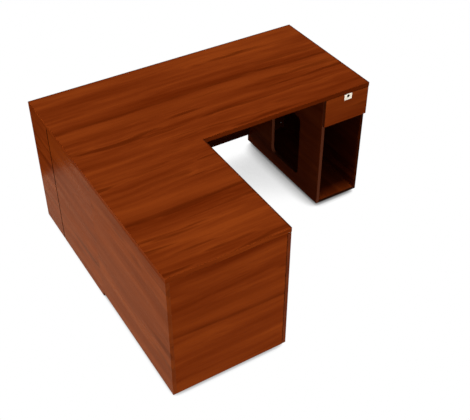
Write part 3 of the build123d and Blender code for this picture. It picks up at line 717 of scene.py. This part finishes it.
class DESK_OT_drawer(bpy.types.Operator):
    """Finish the drawer's front and box"""
    bl_idname = "corner_desk.drawer"
    bl_label = "Drawer"

    def execute(self, context):
        woods = context.scene.desk_woods
        dress(laminate(context, "mahogany_drawer_front", along="X", thin="Y", seed=18), "drawer_front")
        sides = plain_wood("maple_foil_sides", woods.maple, woods.maple_streak, along="Y")
        dress(sides, "drawer_left_side", "drawer_right_side")
        ends = plain_wood("maple_foil_ends", woods.maple, woods.maple_streak, along="X")
        dress(ends, "drawer_box_front", "drawer_box_back")
        bottom = plain_wood("hardboard", woods.hardboard, woods.hardboard_streak, along="Y",
                            roughness=0.5, fibre=0.0015)
        dress(bottom, "drawer_bottom")
        return {"FINISHED"}


class DESK_OT_runners(bpy.types.Operator):
    """Finish the drawer runners"""
    bl_idname = "corner_desk.runners"
    bl_label = "Runners"

    def execute(self, context):
        zinc = context.scene.desk_hardware.zinc
        steel = brushed_metal("runner_steel", zinc, along="Y", smooth=0.28, rough=0.42)
        for side in ("left", "right"):
            for member in ("outer", "middle", "inner"):
                dress(steel, "runner_" + side + "_" + member)
        return {"FINISHED"}


class DESK_OT_lock(bpy.types.Operator):
    """Finish the lock, its cream plate and the strike plate"""
    bl_idname = "corner_desk.lock"
    bl_label = "Lock"

    ring_width = 0.0022      # of the ring of painted shade round the cylinder

    def execute(self, context):
        hardware = context.scene.desk_hardware
        low, high = (Vector(corner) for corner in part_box("lock_cylinder"))
        # painted shade of the keyhole: a black ring round the cylinder
        radius = (high.x - low.x) / 2 + self.ring_width
        ring = (hardware.keyhole_shade_ring, (low + high) / 2, radius)
        dress(moulded("cream_enamel", hardware.lock_plate, roughness=0.35, ring=ring), "lock_plate")
        # painted shade of the keyhole: the plug is near-black
        brass = brushed_metal("keyhole_shade_brass", hardware.plug, along="Y", smooth=0.35, rough=0.5)
        dress(brass, "lock_cylinder")
        case = brushed_metal("cast_zinc", hardware.zinc, along="Z", smooth=0.42, rough=0.6, line=0.004)
        dress(case, "lock_case", "lock_bolt")
        steel = brushed_metal("strike_steel", hardware.zinc, along="X", smooth=0.25, rough=0.4)
        dress(steel, "strike_plate")
        return {"FINISHED"}


class DESK_OT_fasteners(bpy.types.Operator):
    """Finish the screws, cams, dowels, brackets and levelling feet"""
    bl_idname = "corner_desk.fasteners"
    bl_label = "Fasteners and feet"

    def execute(self, context):
        hardware = context.scene.desk_hardware
        woods = context.scene.desk_woods
        plating = brushed_metal("zinc_plating", hardware.zinc, along="Z", smooth=0.28, rough=0.45)
        dress(plating, "cabinet_screws", "drawer_screws", "cam_bolts", "corner_brackets", "foot_studs",
              "shelf_pins")
        cam = brushed_metal("cast_cam", hardware.zinc, along="X", smooth=0.4, rough=0.6, line=0.004)
        dress(cam, "cam_locks")
        beech = plain_wood("beech", woods.beech, woods.beech_streak, along="X")
        dress(beech, "wood_dowels", "drawer_dowels")
        dress(moulded("white_insert", hardware.white_plastic, roughness=0.45), "foot_inserts")
        dress(moulded("black_foot", hardware.black_plastic, roughness=0.5), "foot_pads")
        return {"FINISHED"}


class DESK_OT_stage(bpy.types.Operator):
    """Make the camera, the white surroundings, the lamps, the floor and the dark card behind"""
    bl_idname = "corner_desk.stage"
    bl_label = "Studio"

    box_size = 2.0           # of the soft box overhead
    box_height = 5.5
    lamp_reach = 5.0         # from the desk's middle to each low lamp
    lamp_width = 1.4
    lamp_height = 0.9
    floor_half = 30.0
    near_shade = 0.08        # how far a board darkens the floor beside it
    far_shade = 1.5          # and how far it dims the floor at all
    shade_samples = 32       # rays that measure the open sky
    shade_fade = 0.1         # over which the kneehole's shade turns into the outer one
    card_gap = 0.35          # from the desk's back to the card
    card_half = 3.5
    card_height = 4.0
    front_faces = ("return_end_panel", "return_outer_side", "door_end", "worktop_edge_bands",
                   "drawer_front", "lock_plate", "lock_cylinder", "pedestal_left_side")

    def execute(self, context):
        settings = context.scene.desk_stage
        self.camera(context, settings)
        self.world(context, settings)
        floor = self.floor(context, settings)
        self.lamps(context, settings, floor)
        self.card(context)
        return {"FINISHED"}

    def camera(self, context, settings):
        data = bpy.data.cameras.new("desk_camera")
        data.lens = settings.camera_lens
        camera = bpy.data.objects.new("desk_camera", data)
        camera.location = settings.camera_place
        camera.rotation_euler = (settings.camera_tilt, 0.0, settings.camera_turn)
        context.scene.collection.objects.link(camera)
        context.scene.camera = camera
        context.scene.view_settings.view_transform = "Standard"

    def world(self, context, settings):
        """White to the eye and in reflections, weaker as a light."""
        world = bpy.data.worlds.new("white_studio")
        tree = cleared(world)
        shown = maths(tree, "MAXIMUM", self.straight(tree), self.reflected(tree))
        strength = remap(tree, shown, 0.0, 1.0, settings.sky, 1.0)
        sky = node(tree, "ShaderNodeBackground", {"Color": WHITE, "Strength": strength})
        node(tree, "ShaderNodeOutputWorld", {"Surface": sky.outputs[0]})
        context.scene.world = world

    def straight(self, tree):
        """1 for the rays that leave the camera."""
        return node(tree, "ShaderNodeLightPath").outputs["Is Camera Ray"]

    def reflected(self, tree):
        """1 for the rays that show the studio in gloss and through clear things."""
        path = node(tree, "ShaderNodeLightPath").outputs
        return maths(tree, "MAXIMUM", path["Is Glossy Ray"], path["Is Transmission Ray"])

    def lamps(self, context, settings, floor):
        """A soft box overhead and four low ones that light the upright faces square on.

        They light the desk alone, and the front one only the faces in front, which keeps it off
        the kneehole and the computer bay.
        """
        desk = bpy.data.collections.new("all_but_floor")
        desk.objects.link(floor)
        desk.collection_objects[0].light_linking.link_state = "EXCLUDE"
        fronts = bpy.data.collections.new("fronts")
        for name in self.front_faces:
            fronts.objects.link(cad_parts[name])
        place = AXES["Z"] * self.box_height
        size = (self.box_size, self.box_size)
        self.lamp(context, "overhead", place, size, 1.0 - settings.sky, AXES["Z"], desk)
        low = (("front", -AXES["Y"], settings.front, fronts), ("left", -AXES["X"], settings.side, desk),
               ("back", AXES["Y"], settings.fill, desk), ("right", AXES["X"], settings.fill, desk))
        size = (self.lamp_width, self.lamp_height)
        for name, outward, level, lit in low:
            place = outward * self.lamp_reach + AXES["Z"] * self.lamp_height / 2
            self.lamp(context, name, place, size, level, outward, lit)

    def lamp(self, context, name, place, size, level, outward, lit):
        """Soft box that lights a white face in the desk's middle to this level, 1 being white."""
        data = bpy.data.lights.new(name + "_soft_box", "AREA")
        data.shape = "RECTANGLE"
        data.size, data.size_y = size
        # a white face that a far lamp lights square on shows its energy over (pi * distance) ** 2
        data.energy = level * pi ** 2 * place.length_squared
        lamp = bpy.data.objects.new(name + "_soft_box", data)
        lamp.location = place
        lamp.rotation_euler = outward.to_track_quat("Z", "Y").to_euler()
        lamp.visible_camera = False
        lamp.visible_glossy = False
        context.scene.collection.objects.link(lamp)
        lamp.light_linking.receiver_collection = lit

    def slab(self, context, name, corners, paint):
        """One flat sheet of the studio."""
        mesh = bpy.data.meshes.new(name)
        mesh.from_pydata(corners, [], [(0, 1, 2, 3)])
        mesh.materials.append(paint)
        sheet = bpy.data.objects.new(name, mesh)
        context.scene.collection.objects.link(sheet)
        sheet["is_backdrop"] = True
        return sheet

    def floor(self, context, settings):
        """White to the eye with the desk's shade, pale and warm in reflections.

        It throws no light back.
        """
        paint = bpy.data.materials.new("floor_paint")
        tree = cleared(paint)
        level = settings.floor_gain
        beside = remap(tree, self.kneehole(tree), 0.0, 1.0, settings.outer_fall, settings.near_fall)
        for reach, fall in ((self.near_shade, beside), (self.far_shade, settings.far_fall)):
            sky = node(tree, "ShaderNodeAmbientOcclusion", {"Distance": reach}, samples=self.shade_samples)
            level = times(tree, maths(tree, "POWER", sky.outputs["AO"], fall), level)
        shown = node(tree, "ShaderNodeEmission", {"Strength": maths(tree, "MINIMUM", level, 1.0)}).outputs[0]
        mirrored = node(tree, "ShaderNodeEmission", {"Color": settings.floor_warmth}).outputs[0]
        surface = node(tree, "ShaderNodeBsdfDiffuse", {"Color": BLACK}).outputs[0]
        for factor, other in ((self.reflected(tree), mirrored), (self.straight(tree), shown)):
            surface = node(tree, "ShaderNodeMixShader", {0: factor, 1: surface, 2: other}).outputs[0]
        node(tree, "ShaderNodeOutputMaterial", {"Surface": surface})
        half = self.floor_half
        corners = [(-half, -half, 0), (half, -half, 0), (half, half, 0), (-half, half, 0)]
        return self.slab(context, "floor", corners, paint)

    def kneehole(self, tree):
        """1 on the floor within the desk and behind its drawer's face, 0 outside and in front."""
        low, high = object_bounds()
        drawer_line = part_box("drawer_front")[0][1]
        place = split(tree, spot(tree))
        inside = remap(tree, place["Y"], drawer_line - self.shade_fade, drawer_line)
        limits = (("GREATER_THAN", "X", low[0]), ("LESS_THAN", "X", high[0]), ("LESS_THAN", "Y", high[1]))
        for test, axis, limit in limits:
            inside = times(tree, maths(tree, test, place[axis], limit), inside)
        return inside

    def card(self, context):
        """Black card behind the desk that shows only in reflections."""
        half, height = self.card_half, self.card_height
        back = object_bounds()[1][1] + self.card_gap
        paint = bpy.data.materials.new("black_card")
        tree = cleared(paint)
        black = node(tree, "ShaderNodeBsdfDiffuse", {"Color": BLACK}).outputs[0]
        node(tree, "ShaderNodeOutputMaterial", {"Surface": black})
        corners = [(-half, back, 0), (half, back, 0), (half, back, height), (-half, back, height)]
        card = self.slab(context, "black_card", corners, paint)
        for ray in ("camera", "diffuse", "transmission", "shadow"):
            setattr(card, "visible_" + ray, False)


STEPS = (DESK_OT_stage, DESK_OT_worktop, DESK_OT_left_end, DESK_OT_return, DESK_OT_doors, DESK_OT_pedestal,
         DESK_OT_drawer, DESK_OT_runners, DESK_OT_lock, DESK_OT_fasteners)
GROUPS = {"desk_laminate": DeskLaminateSettings, "desk_hardware": DeskHardwareSettings,
          "desk_woods": DeskWoodSettings, "desk_stage": DeskStageSettings}


class VIEW3D_PT_corner_desk(bpy.types.Panel):
    """Finishes of the corner desk"""
    bl_label = "Corner desk"
    bl_idname = "VIEW3D_PT_corner_desk"
    bl_space_type = "VIEW_3D"
    bl_region_type = "UI"
    bl_category = "Corner Desk"

    def draw(self, context):
        for name in GROUPS:
            group = getattr(context.scene, name)
            box = self.layout.box()
            for prop in group.__annotations__:
                box.prop(group, prop)
        for step in STEPS:
            self.layout.operator(step.bl_idname)


def register():
    for made in (*GROUPS.values(), *STEPS, VIEW3D_PT_corner_desk):
        bpy.utils.register_class(made)
    for name, group in GROUPS.items():
        setattr(bpy.types.Scene, name, PointerProperty(type=group))


def unregister():
    for name in GROUPS:
        delattr(bpy.types.Scene, name)
    for made in (VIEW3D_PT_corner_desk, *reversed(STEPS), *reversed(GROUPS.values())):
        bpy.utils.unregister_class(made)


def main():
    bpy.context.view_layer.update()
    register()
    bpy.ops.corner_desk.stage()
    bpy.ops.corner_desk.worktop()
    bpy.ops.corner_desk.left_end()
    bpy.ops.corner_desk.return_cupboard()
    bpy.ops.corner_desk.doors()
    bpy.ops.corner_desk.pedestal()
    bpy.ops.corner_desk.drawer()
    bpy.ops.corner_desk.runners()
    bpy.ops.corner_desk.lock()
    bpy.ops.corner_desk.fasteners()


if __name__ == "__main__":
    main()
